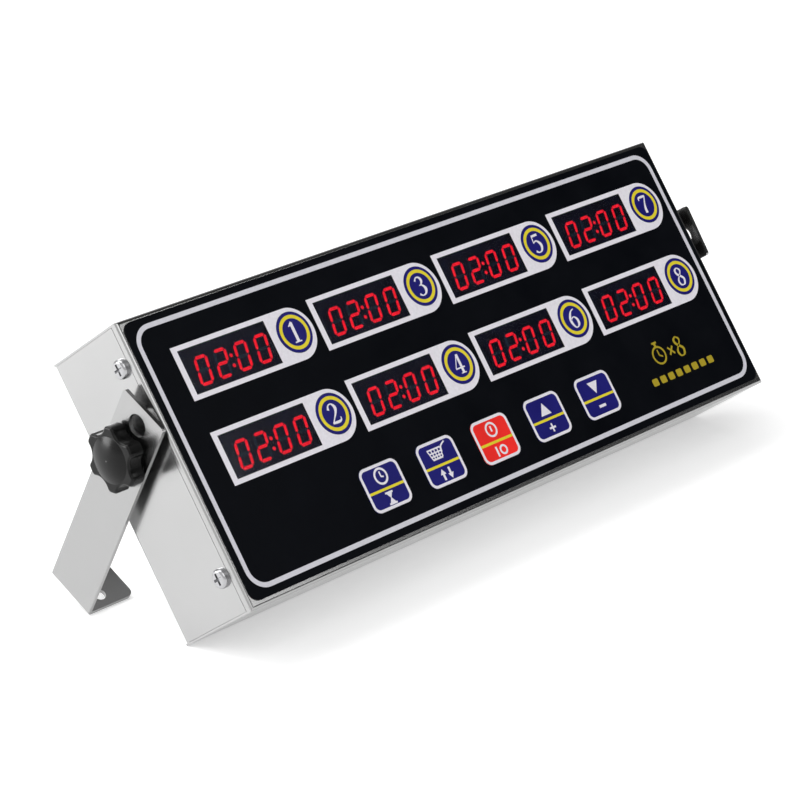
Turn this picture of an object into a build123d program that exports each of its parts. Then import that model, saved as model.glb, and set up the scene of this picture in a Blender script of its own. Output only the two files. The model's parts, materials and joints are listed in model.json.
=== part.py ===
"""Eight-channel kitchen timer: a folded steel case with two swinging bracket legs.

The row frame is the frame of the table that the timer stands on: +X to the right along the
panel, +Y to the back, +Z up, with the origin on the table below the middle of the whole
object. The case leans back and rests on its lower back edge, propped by the left leg, whose
foot touches the table with its front edge. The right leg is swung further back, clear of the
table. Both legs turn about the pivot axis, which lies along X. Every piece of the case is
placed from the front face of the panel: x to the right of its centre, v up the panel from its
centre, and a depth behind the face.
"""

from build123d import *
import math
import os

os.makedirs("parts", exist_ok=True)

# ---------------------------------------------------------------- driving dimensions, mm
# Case
CASE_W = 290.0
CASE_H = 110.0
CASE_D = 42.0
SHEET = 0.8
FOLD_R = 1.3
SIDE_RETURN = 3.0  # depth of the front cover's fold over each end of the case
SEAM = 0.2
LEAN = 33.2  # degrees that the panel leans back from upright
EAR_T = 1.2  # ears that hold the side screws
EAR_L = 24.0
EAR_DEPTH = 13.0

# Pivot, legs and feet
PIVOT_DEPTH = CASE_D / 2
PIVOT_V = 13.5
PIVOT_Y = -7.0  # puts the origin midway between the front and the back of the object
RIGHT_SWING = 59.0  # degrees that the right leg is swung back from upright
LEG_W = 22.0
LEG_T = 1.5
LEG_L = 73.5  # from the pivot to the underside of the foot
LEG_GAP = 2.8  # from the end of the case to the leg
LEG_TOP = 22.3  # leg beyond the pivot
LEG_CORNER_R = 1.2
LEG_HOLE_R = 4.2
SPARE_HOLE_UP = 14.5  # second pivot hole beyond the first
FOOT_L = 22.0
FOOT_FOLD_R = 1.6
FOOT_CORNER_R = 2.8
FOOT_HOLE_R = 2.5
FOOT_HOLE_X = 9.5  # hole centre from the leg's outer face
FOOT_HOLE_SPACING = 11.0

# Clamping knob and its M6 stud
KNOB_R = 12.3
KNOB_LOBES = 6
KNOB_FLUTE_R = 5.6
KNOB_FLUTE_DEPTH = 2.6
KNOB_LOBE_R = 1.6
KNOB_RIM_R = 0.9
KNOB_BODY = 5.8
KNOB_HUB_R = 7.2
KNOB_HUB = 0.6
KNOB_DOME = 1.7
KNOB_DOME_R = 8.7
KNOB_CROWN = 1.6  # plastic beyond the end of the stud
WASHER_R = 6.8
WASHER_T = 0.8
STUD_R = 2.95
NUT_BORE_R = 3.0
STUD_CHAMFER = 0.6
STUD_PAST_NUT = 1.5
PIVOT_NUT_R = 5.6
PIVOT_NUT_L = 4.2
BUSH_R = 8.0
CLEARANCE = 0.05

# Side screws, M4 low pan head, with a cross recess
SCREW_DEPTH = 7.4
SCREW_EDGE = 15.0  # from the top and the bottom of the case
M4_R = 1.95
M4_L = 6.0
M4_EAR_HOLE_R = 2.0
M4_HOLE_R = 2.25
PAN_R = 3.6
PAN_H = 1.9
PAN_ROUND = 1.2
RECESS_W = 4.4
RECESS_SLOT = 1.0
RECESS_DEPTH = 1.1

# Overlay film and what it frames
FILM_T = 0.5
FILM_W = 286.6
FILM_H = 106.0
FILM_V = 0.4
FILM_CORNER = 4.0
UNIT_PITCH = 66.75
UNIT_ROWS = (29.7, -2.9)
WINDOW_W = 41.8
WINDOW_H = 16.8
WINDOW_X = -105.3  # centre of the first column's window
RING_X = -73.25  # centre of the first column's numbered key
RING_RISE = 0.6  # numbered key above its window's centre line
RING_R = 7.85
KEY_W = 19.7
KEY_H = 17.3
KEY_CORNER = 3.2
KEY_V = -33.5
KEY_FIRST_X = -65.9
KEY_PITCH = 29.85
KEY_NAMES = ("time", "basket", "power", "up", "down")
KEY_GAP = 0.15
KEY_PROUD = 0.15
KEY_CAP_T = 1.1
KEY_ROOM = 0.7  # sheet metal kept back from a key cap
WINDOW_ROOM = 0.2  # sheet metal kept back from a window
STEM_R = 1.7
STEM_IN_SWITCH = 1.2

# Electronics
LED_W = 41.4
LED_H = 16.4
BOARD_FRONT = 9.0
BOARD_T = 1.6
BOARD_W = 276.0
BOARD_H = 98.0
SWITCH_SIDE = 6.0
SWITCH_TOP = 5.2  # depth of a switch's top face
STANDOFFS = [(x, v) for x in (-132, 0, 132) for v in (45.5, -46.5)]
STANDOFF_R = 2.6
STANDOFF_BORE_R = 1.5
M3_R = 1.45
M3_HEAD_R = 2.75
M3_HEAD_H = 2.0
M3_L = 6.0
BOARD_HOLE_R = 1.6
SWITCH_BORE = 2.4  # depth of the well that a key's plunger runs in
CHIP_W = 36.0
CHIP_H = 14.0
CHIP_T = 4.0
CHIP_X = 8.0
CHIP_V = -8.0
DRIVER_W = 10.0
DRIVER_H = 7.6
DRIVER_T = 2.2
DRIVER_V = -14.0
DRIVER_PLACES = [(-96.0 + 64.0 * i, DRIVER_V) for i in range(4)]

# Back of the case: cord gland, buzzer, transformer and supply board
GLAND_X = 112.0
GLAND_V = -14.0
GLAND_THREAD_R = 6.2
GLAND_BORE_R = 3.3
GLAND_FLANGE_R = 8.6
GLAND_FLANGE_T = 4.0
GLAND_THREAD_L = 9.0
GLAND_COLLET_R = 5.4
GLAND_COLLET_L = 9.0
GLAND_NUT_R = 9.6
GLAND_NUT_T = 4.0
GLAND_CAP_R = 7.8
GLAND_CAP_L = 12.0
GLAND_CAP_ROUND = 3.0
GLAND_CAP_WELL = 8.0
GLAND_SEAL_R = 5.2
GLAND_SEAL_L = 2.8
BUZZER_X = -20.0
BUZZER_V = -24.0
BUZZER_R = 11.5
BUZZER_T = 9.5
BUZZER_WELL_R = 9.0
BUZZER_WELL = 2.5
SOUND_HOLE_R = 1.0
SOUND_RING_R = 6.0
SOUND_HOLES = 8
TRANSFORMER_X = 66.0
TRANSFORMER_V = 31.0
FOOT_SCREW_X = 26.0  # transformer foot screws each side of its centre
FOOT_SCREW_L = 4.4
POWER_X = -70.0
POWER_V = 22.0
POWER_W = 70.0
POWER_H = 44.0
POWER_HOLE_EDGE = 4.0
CAPACITOR_R = 6.5
CAPACITOR_L = 18.0
CAPACITOR_ROUND = 0.6
SINK_L = 16.0
SINK_W = 20.0
SINK_T = 3.0
FIN_T = 1.2
FIN_H = 9.0
FIN_PITCH = 4.7
FINS = 5
REGULATOR_W = 10.0
REGULATOR_T = 4.4
REGULATOR_TOP = 15.0  # above the board
REGULATOR_LEGS = 5.0
REGULATOR_LEGS_W = 6.0
REGULATOR_LEGS_T = 0.6
TERMINALS_W = 15.0
TERMINALS_H = 8.0
TERMINALS_L = 10.0
RIBBON_V = 15.0
RIBBON_W = 12.0
RIBBON_T = 0.9
RIBBON_BEND_R = 1.6
BOARD_END_X = -36.0
POWER_END_X = -48.0
CONNECTOR_L = 7.0
CONNECTOR_H = 6.0
CORE_W = 41.0
CORE_H = 34.5
CORE_STACK = 14.0
CORE_RISE = 6.4  # stack held off the back, for the coil
LIMB = 13.6
SLOT_W = 6.8
SLOT_H = 20.8
COIL_D = 26.0
COIL_PLAY = 0.2
FRAME_T = 0.85
FRAME_PLAY = 0.05
FRAME_FOOT_W = 16.0
FRAME_FOOT_L = 10.0

# ---------------------------------------------------------------- planes and places
lean = math.radians(LEAN)
panel_up = Vector(0, math.sin(lean), math.cos(lean))
panel_out = Vector(0, -math.cos(lean), math.sin(lean))
# The case stands on the lower edge of its back, and the left foot on its front edge.
below_pivot = CASE_H / 2 + PIVOT_V
behind_pivot = CASE_D - PIVOT_DEPTH
PIVOT_Z = below_pivot * math.cos(lean) + behind_pivot * math.sin(lean)
foot_edge_reach = math.hypot(LEG_L, LEG_W / 2)
foot_edge_turn = math.degrees(math.atan2(LEG_W / 2, LEG_L))
LEFT_SWING = foot_edge_turn + math.degrees(math.acos(PIVOT_Z / foot_edge_reach))
pivot = Vector(0, PIVOT_Y, PIVOT_Z)
face_centre = pivot + panel_out * PIVOT_DEPTH - panel_up * PIVOT_V
panel = Plane(origin=face_centre, x_dir=(1, 0, 0), z_dir=panel_out)
out_axis = Axis(face_centre, panel_out)
up_axis = Axis(face_centre, panel_up)
board_back = BOARD_FRONT + BOARD_T
back_inside = CASE_D - SHEET
end_x = CASE_W / 2
leg_face = end_x + LEG_GAP + LEG_T  # the leg's outer face


def at_depth(depth):
    """The panel's plane, moved back into the case."""
    return panel.offset(-depth)


def end_plane(x):
    """A plane across the case at x: its own x is depth, its own y runs up the panel."""
    return Plane(origin=panel.from_local_coords((x, 0, 0)), x_dir=-panel_out, z_dir=(1, 0, 0))


def pivot_plane(x, swing=0.0):
    """A plane across the pivot axis at x, which a leg swung back by this angle lies in.

    Its own y points up the leg, and its own x to the back, across the leg.
    """
    turn = math.radians(swing)
    across = (0, math.cos(turn), math.sin(turn))
    return Plane(origin=pivot + Vector(x, 0, 0), x_dir=across, z_dir=(1, 0, 0))


def finish(piece, name):
    piece.part.label = name
    export_step(piece.part, f"parts/{name}.step")


def block(depth_near, depth_far, width, height, x=0, v=0):
    """A block square to the panel, between two depths, in the builder that calls it."""
    with BuildSketch(at_depth(depth_far)) as outline:
        with Locations((x, v)):
            Rectangle(width, height)
    extrude(outline.sketch, amount=depth_far - depth_near)


screw_v = CASE_H / 2 - SCREW_EDGE
screw_places = [(SCREW_DEPTH, screw_v), (SCREW_DEPTH, -screw_v)]
unit_centres = [(col, v) for col in range(4) for v in UNIT_ROWS]
window_places = [(WINDOW_X + col * UNIT_PITCH, v) for col, v in unit_centres]
ring_places = [(RING_X + col * UNIT_PITCH, v + RING_RISE) for col, v in unit_centres]
key_places = [(KEY_FIRST_X + i * KEY_PITCH, KEY_V) for i in range(len(KEY_NAMES))]
transformer_feet = [(TRANSFORMER_X + side * FOOT_SCREW_X, TRANSFORMER_V) for side in (-1, 1)]
power_hole_x = POWER_W / 2 - POWER_HOLE_EDGE
power_hole_v = POWER_H / 2 - POWER_HOLE_EDGE
power_corners = [
    (POWER_X + sx * power_hole_x, POWER_V + sv * power_hole_v) for sx in (-1, 1) for sv in (-1, 1)
]

# ---------------------------------------------------------------- case
# The front cover is the panel with its top and bottom flanges, a narrow return at each end,
# and four ears behind the ends that the side screws hold.
ear_x = end_x - SHEET - 2 * CLEARANCE - EAR_T / 2
flange_in = CASE_H / 2 - SHEET

with BuildPart() as front_cover:
    with BuildSketch(at_depth(CASE_D)):
        Rectangle(CASE_W, CASE_H)
    extrude(amount=CASE_D)
    folds = front_cover.faces().sort_by(out_axis)[-1].edges()
    fillet(folds, radius=FOLD_R)
    with BuildSketch(at_depth(CASE_D)):
        Rectangle(CASE_W - 2 * SHEET, CASE_H - 2 * SHEET)
    extrude(amount=CASE_D - SHEET, mode=Mode.SUBTRACT)
    with BuildSketch(at_depth(CASE_D)):
        Rectangle(CASE_W + 2, CASE_H - 2 * SHEET)
    extrude(amount=CASE_D - SIDE_RETURN, mode=Mode.SUBTRACT)
    for side in (-1, 1):
        for edge in (-1, 1):
            block(SHEET / 2, EAR_DEPTH, EAR_T, EAR_L, side * ear_x, edge * (flange_in - EAR_L / 2))
    with BuildSketch(at_depth(0)):
        with Locations(*window_places):
            Rectangle(WINDOW_W + 2 * WINDOW_ROOM, WINDOW_H + 2 * WINDOW_ROOM)
        with Locations(*ring_places):
            Circle(RING_R + KEY_ROOM)
        with Locations(*key_places):
            RectangleRounded(KEY_W + 2 * KEY_ROOM, KEY_H + 2 * KEY_ROOM, KEY_CORNER)
    extrude(amount=-2 * SHEET, mode=Mode.SUBTRACT)
    with BuildSketch(end_plane(-end_x)):
        with Locations(*screw_places):
            Circle(M4_EAR_HOLE_R)
    extrude(amount=CASE_W, mode=Mode.SUBTRACT)
finish(front_cover, "front_cover")

# The rear case is a U: the back and the two ends, sliding in between the flanges.
with BuildPart() as rear_case:
    with BuildSketch(at_depth(CASE_D)):
        Rectangle(CASE_W, CASE_H - 2 * SHEET - SEAM)
    extrude(amount=CASE_D - SIDE_RETURN - SEAM)
    back_folds = rear_case.faces().sort_by(out_axis)[0].edges().filter_by(up_axis)
    fillet(back_folds, radius=FOLD_R)
    with BuildSketch(at_depth(back_inside)):
        Rectangle(CASE_W - 2 * SHEET, CASE_H)
    extrude(amount=CASE_D, mode=Mode.SUBTRACT)
    with BuildSketch(end_plane(-end_x)):
        with Locations(*screw_places):
            Circle(M4_HOLE_R)
        with Locations((PIVOT_DEPTH, PIVOT_V)):
            Circle(LEG_HOLE_R)
    extrude(amount=CASE_W, mode=Mode.SUBTRACT)
    with BuildSketch(at_depth(CASE_D)):
        with Locations((GLAND_X, GLAND_V)):
            Circle(GLAND_THREAD_R + 0.1)
        with Locations((BUZZER_X, BUZZER_V)):
            with PolarLocations(SOUND_RING_R, SOUND_HOLES):
                Circle(SOUND_HOLE_R)
            Circle(SOUND_HOLE_R)
        with Locations(*transformer_feet):
            Circle(BOARD_HOLE_R)
    extrude(amount=2 * SHEET, mode=Mode.SUBTRACT)
finish(rear_case, "rear_case")

# Four pan head screws hold the ends of the rear case to the front cover's ears.
with BuildPart() as side_screws:
    for side in (-1, 1):
        for v in (screw_v, -screw_v):
            centre = panel.from_local_coords((side * end_x, v, -SCREW_DEPTH))
            outward = Plane(origin=centre, x_dir=panel_up, z_dir=(side, 0, 0))
            with BuildSketch(outward):
                Circle(PAN_R)
            extrude(amount=PAN_H)
            with BuildSketch(outward):
                Circle(M4_R)
            extrude(amount=-M4_L)
            with BuildSketch(outward.offset(PAN_H)):
                Rectangle(RECESS_W, RECESS_SLOT)
                Rectangle(RECESS_SLOT, RECESS_W)
            extrude(amount=-RECESS_DEPTH, mode=Mode.SUBTRACT)
    rounds = side_screws.edges().filter_by(GeomType.CIRCLE)
    rims = [e for e in rounds if e.radius > M4_R and abs(e.center().X) > end_x + PAN_H / 2]
    fillet(rims, radius=PAN_ROUND)
finish(side_screws, "side_screws")

# ---------------------------------------------------------------- panel film, windows and keys
with BuildPart() as graphic_overlay:
    with BuildSketch(at_depth(0)):
        with Locations((0, FILM_V)):
            RectangleRounded(FILM_W, FILM_H, FILM_CORNER)
        with Locations(*window_places):
            Rectangle(WINDOW_W, WINDOW_H, mode=Mode.SUBTRACT)
        with Locations(*ring_places):
            Circle(RING_R + KEY_GAP, mode=Mode.SUBTRACT)
        with Locations(*key_places):
            key_hole = (KEY_W + 2 * KEY_GAP, KEY_H + 2 * KEY_GAP)
            RectangleRounded(*key_hole, KEY_CORNER, mode=Mode.SUBTRACT)
    extrude(amount=FILM_T)
finish(graphic_overlay, "graphic_overlay")

with BuildPart() as display_windows:
    with BuildSketch(at_depth(0)):
        with Locations(*window_places):
            Rectangle(WINDOW_W - 0.1, WINDOW_H - 0.1)
    extrude(amount=FILM_T - 0.05)
finish(display_windows, "display_windows")

# A key is its cap in the film, and the plunger below it that runs in the switch.
cap_top = FILM_T + KEY_PROUD
stem_end = -(SWITCH_TOP + STEM_IN_SWITCH)


def key(name, place, outline):
    with BuildPart() as piece:
        with BuildSketch(panel.offset(cap_top)):
            with Locations(place):
                outline()
        extrude(amount=-KEY_CAP_T)
        with BuildSketch(panel.offset(stem_end)):
            with Locations(place):
                Circle(STEM_R)
        extrude(amount=cap_top - KEY_CAP_T - stem_end)
    finish(piece, name)


def round_outline():
    Circle(RING_R)


def square_outline():
    RectangleRounded(KEY_W, KEY_H, KEY_CORNER)


for number, place in enumerate(ring_places, start=1):
    key(f"key_{number}", place, round_outline)
for word, place in zip(KEY_NAMES, key_places):
    key(f"key_{word}", place, square_outline)

# ---------------------------------------------------------------- main board
for number, place in enumerate(window_places, start=1):
    with BuildPart() as led_display:
        block(0.1, BOARD_FRONT, LED_W, LED_H, *place)
    finish(led_display, f"led_display_{number}")

with BuildPart() as tact_switches:
    with BuildSketch(at_depth(BOARD_FRONT)):
        with Locations(*ring_places, *key_places):
            Rectangle(SWITCH_SIDE, SWITCH_SIDE)
    extrude(amount=BOARD_FRONT - SWITCH_TOP)
    with BuildSketch(at_depth(SWITCH_TOP)):
        with Locations(*ring_places, *key_places):
            Circle(STEM_R + 0.08)
    extrude(amount=-SWITCH_BORE, mode=Mode.SUBTRACT)
finish(tact_switches, "tact_switches")

with BuildPart() as main_board:
    block(BOARD_FRONT, board_back, BOARD_W, BOARD_H)
    with BuildSketch(at_depth(BOARD_FRONT)):
        with Locations(*STANDOFFS):
            Circle(BOARD_HOLE_R)
    extrude(amount=-BOARD_T, mode=Mode.SUBTRACT)
finish(main_board, "main_board")

STANDOFF_L = BOARD_FRONT - SHEET
power_face = back_inside - STANDOFF_L - BOARD_T

# Ten equal standoffs: six welded to the panel and four to the back of the case.
with BuildPart() as board_standoffs:
    for depth, places in ((BOARD_FRONT, STANDOFFS), (back_inside, power_corners)):
        with BuildSketch(at_depth(depth)):
            with Locations(*places):
                Circle(STANDOFF_R)
                Circle(STANDOFF_BORE_R, mode=Mode.SUBTRACT)
        extrude(amount=STANDOFF_L)
finish(board_standoffs, "board_standoffs")

# Ten equal M3 screws hold the two boards to them.
with BuildPart() as board_screws:
    for face, places, along in ((board_back, STANDOFFS, 1), (power_face, power_corners, -1)):
        with BuildSketch(at_depth(face)):
            with Locations(*places):
                Circle(M3_HEAD_R)
        extrude(amount=-along * M3_HEAD_H)
        with BuildSketch(at_depth(face)):
            with Locations(*places):
                Circle(M3_R)
        extrude(amount=along * M3_L)
finish(board_screws, "board_screws")

with BuildPart() as controller_chip:
    block(board_back, board_back + CHIP_T, CHIP_W, CHIP_H, CHIP_X, CHIP_V)
finish(controller_chip, "controller_chip")

with BuildPart() as driver_chips:
    for place in DRIVER_PLACES:
        block(board_back, board_back + DRIVER_T, DRIVER_W, DRIVER_H, *place)
finish(driver_chips, "driver_chips")

# ---------------------------------------------------------------- supply, on the back of the case
with BuildPart() as power_board:
    block(power_face, power_face + BOARD_T, POWER_W, POWER_H, POWER_X, POWER_V)
    with BuildSketch(at_depth(power_face)):
        with Locations(*power_corners):
            Circle(BOARD_HOLE_R)
    extrude(amount=-BOARD_T, mode=Mode.SUBTRACT)
finish(power_board, "power_board")

with BuildPart() as filter_capacitor:
    with BuildSketch(at_depth(power_face)):
        with Locations((POWER_X - 20, POWER_V + 2)):
            Circle(CAPACITOR_R)
    extrude(amount=CAPACITOR_L)
    tops = filter_capacitor.faces().sort_by(out_axis)[-1].edges()
    fillet(tops, radius=CAPACITOR_ROUND)
finish(filter_capacitor, "filter_capacitor")

sink_x = POWER_X + 4
sink_v = POWER_V + 8
with BuildPart() as regulator_heatsink:
    block(power_face - SINK_L, power_face, SINK_W, SINK_T, sink_x, sink_v)
    for i in range(FINS):
        fin_x = sink_x + FIN_PITCH * (i - (FINS - 1) / 2)
        block(power_face - SINK_L, power_face, FIN_T, FIN_H, fin_x, sink_v + (SINK_T + FIN_H) / 2 - 2)
finish(regulator_heatsink, "regulator_heatsink")

regulator_v = sink_v - (SINK_T + REGULATOR_T) / 2
with BuildPart() as voltage_regulator:
    legs_end = power_face - REGULATOR_LEGS
    block(power_face - REGULATOR_TOP, legs_end, REGULATOR_W, REGULATOR_T, sink_x, regulator_v)
    block(legs_end, power_face, REGULATOR_LEGS_W, REGULATOR_LEGS_T, sink_x, regulator_v)
finish(voltage_regulator, "voltage_regulator")

with BuildPart() as lead_terminals:
    terminals_at = (POWER_X + 18, POWER_V - 18)
    block(power_face - TERMINALS_L, power_face, TERMINALS_W, TERMINALS_H, *terminals_at)
finish(lead_terminals, "lead_terminals")

# A flat ribbon joins the two boards, from a connector on each, with two bends between.
ribbon_start = board_back + CONNECTOR_H
ribbon_stop = power_face - CONNECTOR_H
ribbon_mid = (ribbon_start + ribbon_stop) / 2
with BuildPart() as ribbon_connectors:
    block(board_back, ribbon_start, CONNECTOR_L, RIBBON_W + 2, BOARD_END_X, RIBBON_V)
    block(ribbon_stop, power_face, CONNECTOR_L, RIBBON_W + 2, POWER_END_X, RIBBON_V)
finish(ribbon_connectors, "ribbon_connectors")

with BuildPart() as ribbon_cable:
    ribbon_level = Plane(
        origin=panel.from_local_coords((0, RIBBON_V, 0)), x_dir=(1, 0, 0), z_dir=-panel_up
    )
    with BuildSketch(ribbon_level):
        with BuildLine():
            FilletPolyline(
                (BOARD_END_X, -ribbon_start),
                (BOARD_END_X, -ribbon_mid),
                (POWER_END_X, -ribbon_mid),
                (POWER_END_X, -ribbon_stop),
                radius=RIBBON_BEND_R,
            )
        trace(line_width=RIBBON_T)
    extrude(amount=RIBBON_W / 2, both=True)
finish(ribbon_cable, "ribbon_cable")

# Mains transformer: an E-I stack, its coil on the middle limb, and a frame with two feet.
core_far = back_inside - CORE_RISE
core_near = core_far - CORE_STACK
with BuildPart() as transformer_core:
    block(core_near, core_far, CORE_W, CORE_H, TRANSFORMER_X, TRANSFORMER_V)
    with BuildSketch(at_depth(core_near)):
        for side in (-1, 1):
            with Locations((TRANSFORMER_X + side * (LIMB + SLOT_W) / 2, TRANSFORMER_V)):
                Rectangle(SLOT_W, SLOT_H)
    extrude(amount=-CORE_STACK, mode=Mode.SUBTRACT)
finish(transformer_core, "transformer_core")

coil_near = (core_near + core_far - COIL_D) / 2
with BuildPart() as transformer_coil:
    coil_w = LIMB + 2 * SLOT_W - 2 * COIL_PLAY
    coil_h = SLOT_H - 2 * COIL_PLAY
    block(coil_near, coil_near + COIL_D, coil_w, coil_h, TRANSFORMER_X, TRANSFORMER_V)
    with BuildSketch(end_plane(TRANSFORMER_X - (LIMB + COIL_PLAY) / 2)):
        with Locations(((core_near + core_far) / 2, TRANSFORMER_V)):
            Rectangle(CORE_STACK + COIL_PLAY, SLOT_H)
    extrude(amount=LIMB + COIL_PLAY, mode=Mode.SUBTRACT)
finish(transformer_coil, "transformer_coil")

frame_outer = 2 * (FRAME_PLAY + FRAME_T)
with BuildPart() as transformer_frame:
    with BuildSketch(at_depth(core_far)):
        with Locations((TRANSFORMER_X, TRANSFORMER_V)):
            Rectangle(CORE_W + frame_outer, CORE_H + frame_outer)
            Rectangle(CORE_W + 2 * FRAME_PLAY, CORE_H + 2 * FRAME_PLAY, mode=Mode.SUBTRACT)
    extrude(amount=CORE_STACK)
    for side, foot in zip((-1, 1), transformer_feet):
        wall_x = TRANSFORMER_X + side * (CORE_W + 2 * FRAME_PLAY + FRAME_T) / 2
        block(core_far, back_inside, FRAME_T, FRAME_FOOT_W, wall_x, TRANSFORMER_V)
        block(back_inside - FRAME_T, back_inside, FRAME_FOOT_L, FRAME_FOOT_W, *foot)
    with BuildSketch(at_depth(back_inside)):
        with Locations(*transformer_feet):
            Circle(BOARD_HOLE_R)
    extrude(amount=FRAME_T, mode=Mode.SUBTRACT)
finish(transformer_frame, "transformer_frame")

with BuildPart() as transformer_screws:
    with BuildSketch(at_depth(CASE_D)):
        with Locations(*transformer_feet):
            Circle(M3_HEAD_R)
    extrude(amount=-M3_HEAD_H)
    with BuildSketch(at_depth(CASE_D)):
        with Locations(*transformer_feet):
            Circle(M3_R)
    extrude(amount=FOOT_SCREW_L)
finish(transformer_screws, "transformer_screws")

with BuildPart() as buzzer:
    with BuildSketch(at_depth(back_inside)):
        with Locations((BUZZER_X, BUZZER_V)):
            Circle(BUZZER_R)
    extrude(amount=BUZZER_T)
    with BuildSketch(at_depth(back_inside)):
        with Locations((BUZZER_X, BUZZER_V)):
            Circle(BUZZER_WELL_R)
    extrude(amount=BUZZER_WELL, mode=Mode.SUBTRACT)
finish(buzzer, "buzzer")

# ---------------------------------------------------------------- cord gland in the back
with BuildPart() as gland_body:
    with BuildSketch(at_depth(CASE_D)):
        with Locations((GLAND_X, GLAND_V)):
            RegularPolygon(GLAND_FLANGE_R, 6)
    extrude(amount=-GLAND_FLANGE_T)
    with BuildSketch(at_depth(CASE_D)):
        with Locations((GLAND_X, GLAND_V)):
            Circle(GLAND_THREAD_R)
    extrude(amount=GLAND_THREAD_L)
    with BuildSketch(at_depth(CASE_D)):
        with Locations((GLAND_X, GLAND_V)):
            Circle(GLAND_COLLET_R)
    extrude(amount=-GLAND_COLLET_L)
    with BuildSketch(at_depth(CASE_D + GLAND_COLLET_L)):
        with Locations((GLAND_X, GLAND_V)):
            Circle(GLAND_BORE_R)
    extrude(amount=GLAND_COLLET_L + GLAND_THREAD_L, mode=Mode.SUBTRACT)
finish(gland_body, "gland_body")

with BuildPart() as gland_nut:
    with BuildSketch(at_depth(back_inside)):
        with Locations((GLAND_X, GLAND_V)):
            RegularPolygon(GLAND_NUT_R, 6)
            Circle(GLAND_THREAD_R + CLEARANCE, mode=Mode.SUBTRACT)
    extrude(amount=GLAND_NUT_T)
finish(gland_nut, "gland_nut")

cap_near = CASE_D + GLAND_FLANGE_T + 4 * CLEARANCE
with BuildPart() as gland_cap:
    with BuildSketch(at_depth(cap_near)):
        with Locations((GLAND_X, GLAND_V)):
            Circle(GLAND_CAP_R)
    extrude(amount=-GLAND_CAP_L)
    dome = gland_cap.faces().sort_by(out_axis)[0].edges()
    fillet(dome, radius=GLAND_CAP_ROUND)
    with BuildSketch(at_depth(cap_near)):
        with Locations((GLAND_X, GLAND_V)):
            Circle(GLAND_COLLET_R + CLEARANCE)
    extrude(amount=-GLAND_CAP_WELL, mode=Mode.SUBTRACT)
    with BuildSketch(at_depth(cap_near)):
        with Locations((GLAND_X, GLAND_V)):
            Circle(GLAND_BORE_R + 6 * CLEARANCE)
    extrude(amount=-GLAND_CAP_L, mode=Mode.SUBTRACT)
finish(gland_cap, "gland_cap")

with BuildPart() as gland_seal:
    with BuildSketch(at_depth(CASE_D + GLAND_COLLET_L + 2 * CLEARANCE)):
        with Locations((GLAND_X, GLAND_V)):
            Circle(GLAND_SEAL_R)
            Circle(GLAND_BORE_R, mode=Mode.SUBTRACT)
    extrude(amount=-GLAND_SEAL_L)
finish(gland_seal, "gland_seal")

# ---------------------------------------------------------------- legs
def leg(name, side, swing):
    """A bracket leg at the left (-1) or right (1) end, with its foot turned in under the case.

    It has two equal holes for the pivot, so the case can be hung lower on the spare one.
    """
    flat = pivot_plane(side * leg_face, swing)
    across = flat.x_dir
    along = flat.y_dir
    sole = Plane(origin=flat.from_local_coords((0, -LEG_L, 0)), x_dir=(1, 0, 0), z_dir=along)
    with BuildPart() as piece:
        with BuildSketch(flat):
            with Locations((0, (LEG_TOP - LEG_L) / 2)):
                Rectangle(LEG_W, LEG_TOP + LEG_L)
            with Locations((0, 0), (0, SPARE_HOLE_UP)):
                Circle(LEG_HOLE_R, mode=Mode.SUBTRACT)
        extrude(amount=-side * LEG_T)
        with BuildSketch(sole):
            with Locations((-side * FOOT_L / 2, 0)):
                Rectangle(FOOT_L, LEG_W)
            with Locations((-side * FOOT_HOLE_X, 0)):
                with GridLocations(0, FOOT_HOLE_SPACING, 1, 2):
                    Circle(FOOT_HOLE_R, mode=Mode.SUBTRACT)
        extrude(amount=LEG_T)
        along_axis = Axis(flat.origin, along)
        toes = piece.edges().filter_by(along_axis).sort_by(lambda e: abs(e.center().X))[:2]
        fillet(toes, radius=FOOT_CORNER_R)
        folds = piece.edges().filter_by(Axis(flat.origin, across)).group_by(along_axis)[0]
        fillet(folds.sort_by(lambda e: -abs(e.center().X))[0], radius=FOOT_FOLD_R)
        ends = piece.edges().filter_by(Axis.X).group_by(along_axis)[-1]
        fillet(ends, radius=LEG_CORNER_R)
    finish(piece, name)


leg("left_leg", -1, LEFT_SWING)
leg("right_leg", 1, RIGHT_SWING)

# ---------------------------------------------------------------- pivot hardware
washer_face = leg_face + CLEARANCE
knob_face = washer_face + WASHER_T
body_face = knob_face + KNOB_HUB
top_face = body_face + KNOB_BODY
stud_in_knob = KNOB_HUB + KNOB_BODY - KNOB_CROWN

# The nylon bush fills the leg's pivot hole and keeps the leg off the case.
with BuildPart() as left_bush:
    with BuildSketch(pivot_plane(-end_x)):
        Circle(BUSH_R)
    extrude(amount=-(LEG_GAP - CLEARANCE))
    with BuildSketch(pivot_plane(-end_x)):
        Circle(LEG_HOLE_R - CLEARANCE)
    extrude(amount=-(LEG_GAP + LEG_T))
    with BuildSketch(pivot_plane(-end_x)):
        Circle(STUD_R + 2 * CLEARANCE)
    extrude(amount=-(LEG_GAP + LEG_T), mode=Mode.SUBTRACT)
finish(left_bush, "left_bush")

# A clinch nut in the end of the case takes the stud.
with BuildPart() as left_pivot_nut:
    with BuildSketch(pivot_plane(-end_x)):
        Circle(LEG_HOLE_R - CLEARANCE / 2)
    extrude(amount=SHEET)
    with BuildSketch(pivot_plane(-end_x + SHEET)):
        Circle(PIVOT_NUT_R)
    extrude(amount=PIVOT_NUT_L)
    with BuildSketch(pivot_plane(-end_x)):
        Circle(NUT_BORE_R)
    extrude(amount=SHEET + PIVOT_NUT_L, mode=Mode.SUBTRACT)
finish(left_pivot_nut, "left_pivot_nut")

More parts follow.
